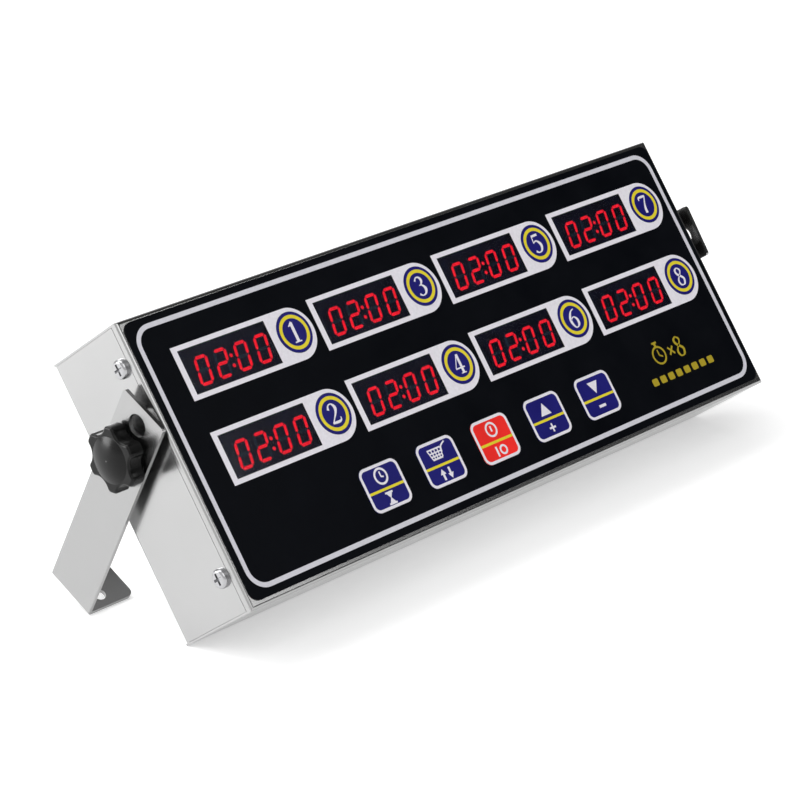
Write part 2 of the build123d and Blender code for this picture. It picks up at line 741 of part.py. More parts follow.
with BuildPart() as left_washer:
    with BuildSketch(pivot_plane(-washer_face)):
        Circle(WASHER_R)
        Circle(STUD_R + 2 * CLEARANCE, mode=Mode.SUBTRACT)
    extrude(amount=-WASHER_T)
finish(left_washer, "left_washer")

flute_centre = KNOB_R + KNOB_FLUTE_R - KNOB_FLUTE_DEPTH


def knob(name, side, swing):
    """A clamping knob with a low dome, turned so that a flute clears its leg's spare hole."""
    dome_centre = pivot + Vector(side * top_face, 0, 0)
    dome_base = Plane(origin=dome_centre, x_dir=(0, 1, 0), z_dir=(0, 0, -side))
    dome_sphere_r = (KNOB_DOME_R**2 + KNOB_DOME**2) / (2 * KNOB_DOME)
    half_turn = math.asin(KNOB_DOME_R / dome_sphere_r) / 2
    half_way = (
        dome_sphere_r * math.sin(half_turn),
        KNOB_DOME - dome_sphere_r * (1 - math.cos(half_turn)),
    )
    with BuildPart() as piece:
        with BuildSketch(pivot_plane(side * knob_face, swing)):
            Circle(KNOB_HUB_R)
        extrude(amount=side * KNOB_HUB)
        with BuildSketch(pivot_plane(side * body_face, swing)) as lobes:
            Circle(KNOB_R)
            with PolarLocations(flute_centre, KNOB_LOBES, start_angle=90):
                Circle(KNOB_FLUTE_R, mode=Mode.SUBTRACT)
            fillet(lobes.vertices(), radius=KNOB_LOBE_R)
        extrude(amount=side * KNOB_BODY)
        rim = piece.faces().sort_by(lambda face: abs(face.center().X))[-1].edges()
        fillet(rim, radius=KNOB_RIM_R)
        with BuildSketch(dome_base):
            with BuildLine():
                Polyline((KNOB_DOME_R, 0), (0, 0), (0, KNOB_DOME))
                ThreePointArc((0, KNOB_DOME), half_way, (KNOB_DOME_R, 0))
            make_face()
        revolve(axis=Axis(pivot, (1, 0, 0)))
        with BuildSketch(pivot_plane(side * knob_face)):
            Circle(STUD_R)
        extrude(amount=side * stud_in_knob, mode=Mode.SUBTRACT)
    finish(piece, name)


knob("left_knob", -1, LEFT_SWING)
knob("right_knob", 1, RIGHT_SWING)

stud_end = end_x - SHEET - PIVOT_NUT_L - STUD_PAST_NUT
with BuildPart() as left_stud:
    with BuildSketch(pivot_plane(-stud_end)):
        Circle(STUD_R)
    extrude(amount=-(knob_face + stud_in_knob - stud_end))
    chamfer(left_stud.faces().sort_by(Axis.X)[-1].edges(), length=STUD_CHAMFER)
finish(left_stud, "left_stud")

for name, left in (
    ("right_bush", left_bush),
    ("right_pivot_nut", left_pivot_nut),
    ("right_washer", left_washer),
    ("right_stud", left_stud),
):
    with BuildPart() as right:
        mirror(left.part, about=Plane.YZ)
    finish(right, name)
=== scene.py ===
"""Looks of the eight-channel kitchen timer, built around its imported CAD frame.

Pieces on the panel are placed in its own plane: x to the right of its centre, v up from its
centre and h out from its face, all in millimetres. place() turns them into the row frame.
"""

import json
import math

import bpy
from mathutils import Matrix, Vector
from mathutils.geometry import delaunay_2d_cdt


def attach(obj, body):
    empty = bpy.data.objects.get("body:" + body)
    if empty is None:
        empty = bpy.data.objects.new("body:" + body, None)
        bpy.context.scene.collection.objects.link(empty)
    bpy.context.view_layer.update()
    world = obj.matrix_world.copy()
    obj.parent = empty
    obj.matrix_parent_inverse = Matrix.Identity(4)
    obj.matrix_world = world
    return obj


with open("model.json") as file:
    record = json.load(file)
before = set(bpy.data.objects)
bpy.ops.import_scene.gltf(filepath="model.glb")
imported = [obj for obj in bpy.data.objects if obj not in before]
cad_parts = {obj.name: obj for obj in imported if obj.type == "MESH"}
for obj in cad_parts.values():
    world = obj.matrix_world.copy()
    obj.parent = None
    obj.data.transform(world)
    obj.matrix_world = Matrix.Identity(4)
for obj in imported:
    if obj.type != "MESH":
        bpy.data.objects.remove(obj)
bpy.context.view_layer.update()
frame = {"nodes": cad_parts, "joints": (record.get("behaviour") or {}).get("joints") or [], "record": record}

# ------------------------------------------------------------------ the panel's own plane
MM = 0.001
LEAN = math.radians(33.2)  # the panel's tilt back from upright
PIVOT_DEPTH = 21.0  # from the panel's face back to the legs' pivot
PIVOT_V = 13.5  # from the panel's centre up to the legs' pivot
joints = {joint["name"]: joint for joint in frame["joints"]}
panel_up = Vector((0, math.sin(LEAN), math.cos(LEAN)))
panel_out = Vector((0, -math.cos(LEAN), math.sin(LEAN)))
pivot = Vector((0, *joints["left_leg_swing"]["pos_m"][1:]))
face_centre = pivot + (panel_out * PIVOT_DEPTH - panel_up * PIVOT_V) * MM
panel_matrix = Matrix.Translation(face_centre) @ Matrix(
    ((1, 0, 0), (0, panel_up.y, panel_out.y), (0, panel_up.z, panel_out.z))
).to_4x4()


def place(x, v, h):
    """A point given from the panel's centre, in the row frame."""
    return panel_matrix @ (Vector((x, v, h)) * MM)


# ------------------------------------------------------------------ panel layout, mm
FILM_TOP = 0.5  # height of the overlay film
KEY_TOP = 0.65  # height of the embossed keys
INK = 0.04  # thickness of the print
UNIT_PITCH = 66.75  # from one column of displays to the next
UNIT_ROWS = (29.7, -2.9)  # the middles of the two rows
WINDOW_W = 41.8
WINDOW_H = 16.8
WINDOW_X = -105.3
RING_X = -73.25
RING_RISE = 0.6  # from the row's middle up to a channel key's centre
RING_R = 7.85
RING_GAP = 0.15  # round a channel key
KEY_W = 19.7
KEY_H = 17.3
KEY_CORNER = 3.2
KEY_V = -33.5
KEY_FIRST_X = -65.9
KEY_PITCH = 29.85
FRAME_LEFT = -128.6
FRAME_H = 20.4
FRAME_ROUND_X = -74.0  # centre of a display frame's round end, first column
BORDER_W = 280.2
BORDER_H = 98.9
BORDER_V = 0.55
BORDER_LINE = 1.8
BORDER_CORNER = 7.0
LED_FACE = -0.1  # the front of the displays, behind the film's windows
SEGMENT_RISE = 0.06
KEY_WORDS = ("time", "basket", "power", "up", "down")
units = [(col, v) for col in range(4) for v in UNIT_ROWS]


# ------------------------------------------------------------------ outlines
def arc(cx, cy, radius, start, stop, steps):
    """Points on an arc, with its angles in degrees."""
    angles = [math.radians(start + (stop - start) * i / steps) for i in range(steps + 1)]
    return [(cx + radius * math.cos(a), cy + radius * math.sin(a)) for a in angles]


def circle(cx, cy, radius, steps=64):
    return arc(cx, cy, radius, 0, 360, steps)[:-1]


def rectangle(cx, cy, width, height):
    x, y = width / 2, height / 2
    return [(cx - x, cy - y), (cx + x, cy - y), (cx + x, cy + y), (cx - x, cy + y)]


def rounded(cx, cy, width, height, radius, steps=10):
    x, y = width / 2 - radius, height / 2 - radius
    corners = ((x, y, 0), (-x, y, 90), (-x, -y, 180), (x, -y, 270))
    return [p for dx, dy, a in corners for p in arc(cx + dx, cy + dy, radius, a, a + 90, steps)]


def shifted(outline, dx, dy):
    return [(dx + x, dy + y) for x, y in outline]


def catmull_rom(a, b, c, d, t):
    """One coordinate at t along the curve from b to c, where a and d are the points beyond."""
    return 0.5 * (
        2 * b + (c - a) * t + (2 * a - 5 * b + 4 * c - d) * t**2 + (3 * b - a - 3 * c + d) * t**3
    )


def smooth_path(points, steps=8):
    """Points on a Catmull-Rom curve through the given points."""
    ends = [points[0], *points, points[-1]]
    path = []
    for four in zip(ends, ends[1:], ends[2:], ends[3:]):
        for i in range(steps):
            path.append(tuple(catmull_rom(*values, i / steps) for values in zip(*four)))
    path.append(points[-1])
    return path


def stroke(points, steps=8):
    """A pen stroke's outline. Each point is (x, y, width), and a curve runs through them."""
    path = smooth_path(points, steps)
    left, right = [], []
    for i, (x, y, width) in enumerate(path):
        before, after = path[max(i - 1, 0)], path[min(i + 1, len(path) - 1)]
        along = Vector((after[0] - before[0], after[1] - before[1])).normalized()
        left.append((x - along.y * width / 2, y + along.x * width / 2))
        right.append((x + along.y * width / 2, y - along.x * width / 2))
    return left + right[::-1]


def line(x0, y0, x1, y1, width):
    return stroke([(x0, y0, width), (x1, y1, width)], steps=1)


def contains(outline, x, y):
    """Whether a point is inside an outline, by counting the edges to its right."""
    inside = False
    for (x0, y0), (x1, y1) in zip(outline, outline[1:] + outline[:1]):
        if (y0 > y) != (y1 > y) and x < x0 + (x1 - x0) * (y - y0) / (y1 - y0):
            inside = not inside
    return inside


# ------------------------------------------------------------------ meshes
FILL_HULL = 0  # the triangulation's mode that fills the convex hull
MERGE_WITHIN = 1e-5  # mm


def new_object(name, vertices, faces, material):
    mesh = bpy.data.meshes.new(name)
    mesh.from_pydata(vertices, [], faces)
    mesh.materials.append(material)
    piece = bpy.data.objects.new(name, mesh)
    bpy.context.scene.collection.objects.link(piece)
    return piece


def slab(name, low, high, outlines, material, body, slot, holes=()):
    """A layer on the panel from height low to high: the union of outlines, less the holes."""
    loops = [*outlines, *holes]
    points = [Vector(p) for loop in loops for p in loop]
    edges = []
    for loop in loops:
        start = len(edges)
        edges += [(start + i, start + (i + 1) % len(loop)) for i in range(len(loop))]
    corners, _, triangles = delaunay_2d_cdt(points, edges, [], FILL_HULL, MERGE_WITHIN)[:3]
    kept = []
    for a, b, c in triangles:
        x, y = (corners[a] + corners[b] + corners[c]) / 3
        if any(contains(o, x, y) for o in outlines) and not any(contains(o, x, y) for o in holes):
            kept.append((a, b, c))
    used = {v: i for i, v in enumerate(sorted({v for t in kept for v in t}))}
    count = len(used)
    vertices = [place(corners[v].x, corners[v].y, h) for h in (low, high) for v in used]
    sides = {(t[i], t[(i + 1) % 3]) for t in kept for i in range(3)}
    faces = [tuple(used[v] + count for v in t) for t in kept]
    faces += [tuple(used[v] for v in reversed(t)) for t in kept]
    faces += [
        (used[a], used[b], used[b] + count, used[a] + count) for a, b in sides if (b, a) not in sides
    ]
    piece = new_object(name, vertices, faces, material)
    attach(piece, body)
    return piece


# ------------------------------------------------------------------ materials
# Places of the sockets on a Mix node that mixes colours.
MIX_FACTOR = 0
MIX_FIRST = 6
MIX_SECOND = 7
MIX_RESULT = 2


def srgb(red, green, blue):
    """A colour given as 0 to 255 on screen, as the linear colour a shader takes."""
    levels = [c / 255 for c in (red, green, blue)]
    return [c / 12.92 if c <= 0.04045 else ((c + 0.055) / 1.055) ** 2.4 for c in levels] + [1.0]


def shaded(colour, factor, lift=0.0):
    """A lighter or darker version of a colour."""
    return [min(1.0, c * factor + lift) for c in colour[:3]] + [1.0]


class Shader:
    """A Principled material and the nodes that lead into it."""

    def __init__(self, name, **constants):
        self.material = bpy.data.materials.new(name)
        self.material.use_nodes = True
        self.tree = self.material.node_tree
        self.principled = self.tree.nodes["Principled BSDF"]
        for socket, value in constants.items():
            self.principled.inputs[socket.replace("_", " ")].default_value = value

    def fill(self, socket, value):
        """Links another node's output to a socket, or sets a constant on it."""
        if isinstance(value, bpy.types.NodeSocket):
            self.tree.links.new(value, socket)
        else:
            socket.default_value = value

    def node(self, kind, settings=(), **inputs):
        made = self.tree.nodes.new(kind)
        for key, value in dict(settings).items():
            setattr(made, key, value)
        for key, value in inputs.items():
            self.fill(made.inputs[key.replace("_", " ")], value)
        return made

    def coordinates(self, turn=(0, 0, 0), scale=(1, 1, 1)):
        where = self.node("ShaderNodeTexCoord").outputs["Object"]
        return self.node("ShaderNodeMapping", Vector=where, Rotation=turn, Scale=scale).outputs[0]

    def noise(self, where, scale, detail=3.0, roughness=0.5):
        made = self.node(
            "ShaderNodeTexNoise", Vector=where, Scale=scale, Detail=detail, Roughness=roughness
        )
        return made.outputs["Fac"]

    def spread(self, value, low, high, start=0.3, stop=0.7):
        """A value from start to stop, mapped to the range from low to high."""
        made = self.node(
            "ShaderNodeMapRange", Value=value, From_Min=start, From_Max=stop, To_Min=low, To_Max=high
        )
        return made.outputs["Result"]

    def mix_colour(self, factor, first, second):
        made = self.node("ShaderNodeMix", {"data_type": "RGBA"})
        self.tree.links.new(factor, made.inputs[MIX_FACTOR])
        self.fill(made.inputs[MIX_FIRST], first)
        self.fill(made.inputs[MIX_SECOND], second)
        return made.outputs[MIX_RESULT]

    def into(self, socket, value):
        self.tree.links.new(value, self.principled.inputs[socket])

    def roughen(self, value, roughness, smoother, rougher):
        """Lets the roughness vary with a value, from a little smoother to a little rougher."""
        self.into("Roughness", self.spread(value, roughness - smoother, roughness + rougher))

    def bump(self, height, strength, distance):
        made = self.node("ShaderNodeBump", Height=height, Strength=strength, Distance=distance)
        self.into("Normal", made.outputs["Normal"])


STEEL_CLOUDS = (14, 14, 14)  # clouds per metre
LINE_SHADE = 0.96
LINE_COVER = 0.45  # how much of the sheet's colour a line takes over


def brushed_steel(name, colour, roughness, turn, grain=(20, 1500, 1500), cloud=0.05):
    """Stainless sheet with fine lines along x of the turned coordinates, and faint clouding."""
    shader = Shader(name, Metallic=1.0)
    lines = shader.noise(shader.coordinates(turn, grain), scale=1.0, detail=4.0, roughness=0.6)
    clouds = shader.noise(shader.coordinates(scale=STEEL_CLOUDS), scale=1.0)
    dull, bright = shaded(colour, 1 - cloud), shaded(colour, 1 + cloud)
    clouded = shader.mix_colour(shader.spread(clouds, 0, 1), dull, bright)
    line_colour = shaded(colour, LINE_SHADE)
    lined = shader.mix_colour(shader.spread(lines, 0, LINE_COVER), clouded, line_colour)
    shader.into("Base Color", lined)
    shader.roughen(clouds, roughness, smoother=0.03, rougher=0.04)
    shader.bump(lines, strength=0.03, distance=0.00001)
    return shader.material


def moulded_plastic(name, colour, roughness, grain=1800.0, depth=0.00003, **constants):
    """Moulded or filmed plastic with a fine grain and slight changes of gloss and shade."""
    shader = Shader(name, **constants)
    where = shader.coordinates()
    fine = shader.noise(where, grain, detail=2.0)
    broad = shader.noise(where, scale=60.0)
    darker, lighter = shaded(colour, 0.9), shaded(colour, 1.12, lift=0.001)
    shader.into("Base Color", shader.mix_colour(shader.spread(broad, 0, 1), darker, lighter))
    shader.roughen(broad, roughness, smoother=0.04, rougher=0.05)
    shader.bump(fine, strength=0.15, distance=depth)
    return shader.material


def printed_ink(name, colour, roughness=0.4, speck=0.05):
    """Screen-printed ink: nearly even, with a fine mottle."""
    shader = Shader(name, Specular_IOR_Level=0.25)
    where = shader.coordinates()
    mottle = shader.noise(where, scale=900.0, roughness=0.6)
    darker = shaded(colour, 1 - 2 * speck)
    shader.into("Base Color", shader.mix_colour(shader.spread(mottle, 0, 1), darker, colour))
    shader.roughen(mottle, roughness, smoother=0.05, rougher=0.05)
    shader.bump(mottle, strength=0.1, distance=0.00002)
    return shader.material


def lit_segment(name, colour, strength):
    """A lit display segment, a little uneven across its face."""
    shader = Shader(name, Roughness=0.4, Emission_Strength=strength, Specular_IOR_Level=0.2)
    uneven = shader.noise(shader.coordinates(), scale=700.0, detail=2.0)
    shade = shader.mix_colour(shader.spread(uneven, 0, 1), shaded(colour, 0.82), colour)
    shader.into("Base Color", shade)
    shader.into("Emission Color", shade)
    return shader.material


panel_turn = (LEAN, 0, 0)
leg_turn = (0, math.pi / 2, 0)
unturned = (0, 0, 0)
materials = {
    "case_steel": brushed_steel("case_steel", (0.42, 0.42, 0.42), 0.22, panel_turn),
    "leg_steel": brushed_steel("leg_steel", (0.36, 0.36, 0.36), 0.22, leg_turn),
    "screw_steel": brushed_steel("screw_steel", (0.42, 0.42, 0.43), 0.16, unturned, (400, 400, 400)),
    "zinc_steel": brushed_steel("zinc_steel", (0.70, 0.71, 0.72), 0.32, unturned, (500, 500, 500)),
    "overlay_film": moulded_plastic(
        "overlay_film", srgb(7, 9, 14), 0.36, depth=0.00001, Specular_IOR_Level=0.04
    ),
    "led_module": moulded_plastic("led_module", srgb(3, 8, 30), 0.35, Specular_IOR_Level=0.2),
    "key_blue": moulded_plastic("key_blue", srgb(24, 22, 108), 0.34, Specular_IOR_Level=0.2),
    "key_red": moulded_plastic("key_red", srgb(242, 44, 38), 0.34, Specular_IOR_Level=0.2),
    "circuit_board": moulded_plastic("circuit_board", (0.02, 0.16, 0.05, 1), 0.4),
    "switch_plastic": moulded_plastic("switch_plastic", (0.02, 0.02, 0.02, 1), 0.5),
    "connector_plastic": moulded_plastic("connector_plastic", (0.7, 0.68, 0.6, 1), 0.5),
    "ribbon_pvc": moulded_plastic("ribbon_pvc", (0.3, 0.3, 0.32, 1), 0.5),
    "capacitor_sleeve": moulded_plastic("capacitor_sleeve", (0.02, 0.02, 0.06, 1), 0.3),
    "heatsink_aluminium": brushed_steel("heatsink_aluminium", (0.6, 0.6, 0.62), 0.35, unturned),
    "core_iron": brushed_steel("core_iron", (0.15, 0.15, 0.16), 0.5, panel_turn),
    "coil_copper": moulded_plastic("coil_copper", (0.5, 0.24, 0.05, 1), 0.45),
    "knob_plastic": moulded_plastic(
        "knob_plastic", srgb(5, 5, 5), 0.20, grain=1500.0, depth=0.00002, Specular_IOR_Level=0.2
    ),
    "black_nylon": moulded_plastic("black_nylon", srgb(24, 24, 25), 0.45),
    "seal_rubber": moulded_plastic("seal_rubber", srgb(20, 20, 20), 0.7),
}
silver_ink = printed_ink("silver_ink", srgb(214, 213, 221))
white_ink = printed_ink("white_ink", srgb(236, 233, 240))
yellow_ink = printed_ink("yellow_ink", srgb(232, 214, 50))
gold_ink = printed_ink("gold_ink", srgb(176, 156, 40))
lit_red = lit_segment("lit_red", srgb(222, 22, 40), strength=0.75)
unlit_grey = printed_ink("unlit_grey", srgb(14, 40, 56))


def window_material():
    """Clear tinted film over a display."""
    shader = Shader(
        "window_film", Transmission_Weight=1.0, IOR=1.2, Specular_IOR_Level=0.05, Roughness=0.08
    )
    smudge = shader.noise(shader.coordinates(), scale=120.0)
    dark_tint, light_tint = (0.86, 0.86, 0.9, 1), (0.92, 0.92, 0.95, 1)
    tint = shader.mix_colour(shader.spread(smudge, 0, 1), dark_tint, light_tint)
    shader.into("Base Color", tint)
    return shader.material


materials["window_film"] = window_material()

for row in frame["record"]["subparts"]:
    node = frame["nodes"][row["node"]]
    node.data.materials.clear()
    node.data.materials.append(materials[row["material_slot"]])

# ------------------------------------------------------------------ printed border and frames
film_print = (FILM_TOP, FILM_TOP + INK)


def border_edge(offset):
    """The border's middle line, moved outwards by an offset."""
    width, height = BORDER_W + 2 * offset, BORDER_H + 2 * offset
    return rounded(0, BORDER_V, width, height, BORDER_CORNER + offset)


outside, inside = border_edge(BORDER_LINE / 2), border_edge(-BORDER_LINE / 2)
slab("print_border", *film_print, [outside], silver_ink, "housing", "overlay_film", [inside])


def display_frame(number, col, v):
    """The white frame round a window, with the round-ended tab that its key sits in."""
    dx = col * UNIT_PITCH
    r = FRAME_H / 2
    outline = [(FRAME_LEFT + dx, v - r)]
    outline += arc(FRAME_ROUND_X + dx, v, r, -90, 90, 40)
    outline.append((FRAME_LEFT + dx, v + r))
    holes = [
        rectangle(WINDOW_X + dx, v, WINDOW_W, WINDOW_H),
        circle(RING_X + dx, v + RING_RISE, RING_R + RING_GAP),
    ]
    slab(f"print_frame_{number}", *film_print, [outline], white_ink, "housing", "overlay_film", holes)


for number, (col, v) in enumerate(units, start=1):
    display_frame(number, col, v)

# ------------------------------------------------------------------ seven-segment digits
DIGIT_W = 6.3
DIGIT_H = 10.9
SEGMENT = 1.2
SEGMENT_GAP = 0.16
SLANT = math.tan(math.radians(10))
DIGIT_LEFTS = (-17.2, -8.1, 1.8, 11.6)  # from the window's centre
DIGIT_FOOT = -6.35
COLON_DOTS = ((1.0, 0.7), (0.35, -3.05))
COLON_R = 0.72
SEGMENTS_LIT = {0: "abcdef", 2: "abged"}
READING = (0, 2, 0, 0)  # two minutes


def bar(x0, y0, x1, y1):
    """A segment from one corner of the digit's skeleton to another, with pointed ends."""
    along = Vector((x1 - x0, y1 - y0)).normalized()
    side = Vector((-along.y, along.x)) * SEGMENT / 2
    a = Vector((x0, y0)) + along * SEGMENT_GAP
    b = Vector((x1, y1)) - along * SEGMENT_GAP
    tip = along * SEGMENT / 2
    corners = (a, a + tip + side, b - tip + side, b, b - tip - side, a + tip - side)
    return [(p.x, p.y) for p in corners]


def segments():
    """The seven bars of an upright digit whose foot is at the origin, by letter."""
    left, right = SEGMENT / 2, DIGIT_W - SEGMENT / 2
    low, middle, high = SEGMENT / 2, DIGIT_H / 2, DIGIT_H - SEGMENT / 2
    return {
        "a": bar(left, high, right, high),
        "b": bar(right, middle, right, high),
        "c": bar(right, low, right, middle),
        "d": bar(left, low, right, low),
        "e": bar(left, low, left, middle),
        "f": bar(left, middle, left, high),
        "g": bar(left, middle, right, middle),
    }


def slanted(outline, x, v):
    """An upright digit's outline, leant to the right and moved to its place."""
    return [(x + px + py * SLANT, v + py) for px, py in outline]


for number, (col, v) in enumerate(units, start=1):
    centre = WINDOW_X + col * UNIT_PITCH
    lit, unlit = [], []
    for digit, left in zip(READING, DIGIT_LEFTS):
        for letter, outline in segments().items():
            group = lit if letter in SEGMENTS_LIT[digit] else unlit
            group.append(slanted(outline, centre + left, v + DIGIT_FOOT))
    lit += [circle(centre + x, v + y, COLON_R, 24) for x, y in COLON_DOTS]
    heights = (LED_FACE, LED_FACE + SEGMENT_RISE)
    slab(f"lit_segments_{number}", *heights, lit, lit_red, "housing", "led_module")
    slab(f"unlit_segments_{number}", *heights, unlit, unlit_grey, "housing", "led_module")

# ------------------------------------------------------------------ numerals on the channel keys
# Each numeral is a set of pen strokes in a box one unit high, centred on the origin. The points
# of a stroke are (x, y, pen width).
NUMERALS = {
    1: (
        [(0.0, -0.46, 0.17), (0.0, 0.48, 0.17)],
        [(-0.2, 0.33, 0.05), (-0.08, 0.4, 0.09), (0.04, 0.5, 0.1)],
        [(-0.2, -0.47, 0.06), (0.2, -0.47, 0.06)],
    ),
    2: (
        [(-0.24, 0.22, 0.13), (-0.14, 0.42, 0.07), (0.06, 0.46, 0.07), (0.2, 0.26, 0.17),
         (0.12, 0.02, 0.11), (-0.1, -0.24, 0.06), (-0.27, -0.43, 0.06)],
        [(-0.28, -0.42, 0.1), (0.1, -0.43, 0.13), (0.26, -0.38, 0.08), (0.3, -0.24, 0.04)],
    ),
    3: (
        [(-0.24, 0.3, 0.1), (-0.1, 0.45, 0.06), (0.08, 0.43, 0.1), (0.17, 0.26, 0.15),
         (0.06, 0.08, 0.07), (-0.08, 0.04, 0.04)],
        [(-0.08, 0.05, 0.04), (0.1, 0.02, 0.08), (0.23, -0.18, 0.17), (0.12, -0.4, 0.1),
         (-0.1, -0.46, 0.06), (-0.26, -0.36, 0.12)],
    ),
    4: (
        [(0.1, -0.46, 0.15), (0.1, 0.48, 0.15)],
        [(0.08, 0.48, 0.05), (-0.28, -0.18, 0.05)],
        [(-0.3, -0.2, 0.07), (0.3, -0.2, 0.07)],
        [(-0.06, -0.47, 0.05), (0.26, -0.47, 0.05)],
    ),
    5: (
        [(-0.18, 0.42, 0.12), (0.24, 0.44, 0.12)],
        [(-0.16, 0.46, 0.05), (-0.2, 0.08, 0.05)],
        [(-0.22, 0.06, 0.05), (0.02, 0.14, 0.08), (0.23, -0.1, 0.17), (0.14, -0.38, 0.11),
         (-0.08, -0.46, 0.06), (-0.26, -0.36, 0.12)],
    ),
    6: (
        [(0.24, 0.46, 0.04), (0.0, 0.36, 0.08), (-0.2, 0.08, 0.15), (-0.23, -0.16, 0.16),
         (-0.12, -0.42, 0.1), (0.04, -0.47, 0.06), (0.2, -0.34, 0.14), (0.22, -0.12, 0.15),
         (0.08, 0.06, 0.07), (-0.08, 0.04, 0.05), (-0.19, -0.06, 0.05)],
    ),
    7: (
        [(-0.26, 0.26, 0.05), (-0.22, 0.4, 0.1), (0.0, 0.42, 0.13), (0.26, 0.42, 0.11)],
        [(0.25, 0.42, 0.06), (0.06, 0.06, 0.09), (-0.04, -0.24, 0.15), (-0.05, -0.46, 0.17)],
    ),
    8: (
        [(0.0, 0.47, 0.06), (-0.17, 0.36, 0.12), (-0.14, 0.16, 0.13), (0.06, 0.0, 0.12),
         (0.22, -0.18, 0.14), (0.14, -0.41, 0.11), (0.0, -0.47, 0.06), (-0.16, -0.42, 0.1),
         (-0.22, -0.22, 0.12), (-0.08, -0.02, 0.07), (0.12, 0.16, 0.07), (0.17, 0.34, 0.1),
         (0.0, 0.47, 0.06)],
    ),
}
NUMERAL_H = 7.9
YELLOW_OUT = 6.7
YELLOW_IN = 5.35
RING_STEPS = 96
key_print = (KEY_TOP, KEY_TOP + INK)


def numeral_strokes(number, x, y, height):
    """A numeral's outlines, centred on x, y."""
    return [
        stroke([(x + height * px, y + height * py, height * width) for px, py, width in path])
        for path in NUMERALS[number]
    ]


for number, (col, v) in enumerate(units, start=1):
    x, y = RING_X + col * UNIT_PITCH, v + RING_RISE
    body, slot = f"key_{number}_cap", "key_blue"
    outer, inner = circle(x, y, YELLOW_OUT, RING_STEPS), circle(x, y, YELLOW_IN, RING_STEPS)
    slab(f"key_{number}_ring", *key_print, [outer], yellow_ink, body, slot, [inner])
    strokes = numeral_strokes(number, x, y, NUMERAL_H)
    slab(f"key_{number}_numeral", *key_print, strokes, white_ink, body, slot)

# ------------------------------------------------------------------ pictures on the function keys
KEY_LINE = 1.1
DIVIDER_DROP = -1.05
DIVIDER_LINE = 1.0
THIN, PEN, BOLD, BROAD = 0.5, 0.6, 0.7, 0.8  # widths of the pictures' lines
SEAM = 0.2  # degrees from the start of a ring to its seam


def ring(cx, cy, outer, inner):
    """A ring as one outline, cut along a seam too thin to see."""
    start, stop, steps = SEAM, 360 - SEAM, 48
    return arc(cx, cy, outer, start, stop, steps) + arc(cx, cy, inner, stop, start, steps)


def time_picture():
    """A clock face, and an hourglass below the line."""
    x, v = -0.1, 3.9
    clock = [ring(x, v, 3.3, 2.45)]
    clock.append(line(x, v - 0.2, x, v + 1.8, PEN))
    clock.append(line(x - 0.1, v - 0.1, x + 1.2, v - 0.5, PEN))
    top, waist, foot, end, bulb = -2.6, -4.7, -6.9, 1.9, 1.4
    glass = [line(-end, y, end, y, BOLD) for y in (top, foot)]
    glass.append([(-bulb, top - 0.3), (0, waist - 0.2), (bulb, top - 0.3)])
    glass.append([(-bulb, foot + 0.3), (bulb, foot + 0.3), (0, waist + 0.2)])
    return clock + glass


def basket_picture():
    """A frying basket with its handle, and a lift arrow each way below the line."""
    left, right, rim, foot = -4.6, 2.4, 5.5, 1.6
    basket = [line(left, rim, right, rim, PEN), line(left + 1.2, foot, right - 0.6, foot, BOLD)]
    for i in (1, 2):
        v = rim - 0.2 - 1.25 * i
        basket.append(line(left + 0.4 * i, v, right + 0.1 - 0.25 * i, v, THIN))
    for i in range(5):
        basket.append(line(left + 0.2 + 1.7 * i, rim, left + 1.3 + 1.28 * i, foot + 0.1, THIN))
    basket.append(stroke([(2.3, 3.4, PEN), (3.0, 5.6, PEN), (5.4, 6.9, PEN)]))
    x, wing, shaft = 1.8, 1.4, 1.0
    high, middle, low = -2.5, -4.6, -6.9
    up = [[(-x - wing, middle), (-x + wing, middle), (-x, high)]]
    up.append(line(-x, middle + 0.2, -x, low, shaft))
    down = [[(x - wing, middle - 0.3), (x + wing, middle - 0.3), (x, low - 0.1)]]
    down.append(line(x, middle - 0.4, x, high - 0.1, shaft))
    return basket + up + down


def power_picture():
    """A ring with a bar, and the on and off marks below the line."""
    v, mark_v, mark_r = 3.8, -4.8, 2.0
    switch = [ring(0, v, 3.0, 3.0 - BROAD), line(0, v - 0.8, 0, v + 1.4, BROAD)]
    on_mark = line(-1.9, mark_v + mark_r, -1.9, mark_v - mark_r, 0.9)
    off_mark = ring(1.5, mark_v, mark_r, mark_r - BROAD)
    return [*switch, on_mark, off_mark]


def up_picture():
    """A triangle that points up, and a plus below the line."""
    wing, foot, tip = 2.9, 0.7, 5.6
    triangle = [(-wing, foot), (wing, foot), (0, tip)]
    v, arm = -4.6, 1.7
    return [triangle, line(-arm, v, arm, v, BROAD), line(0, v - arm, 0, v + arm, BROAD)]


def down_picture():
    """A triangle that points down, and a minus below the line."""
    wing, head, tip = 2.9, 5.7, 0.8
    triangle = [(-wing, head), (0, tip), (wing, head)]
    v, arm = -4.5, 1.9
    return [triangle, line(-arm, v, arm, v, KEY_LINE)]


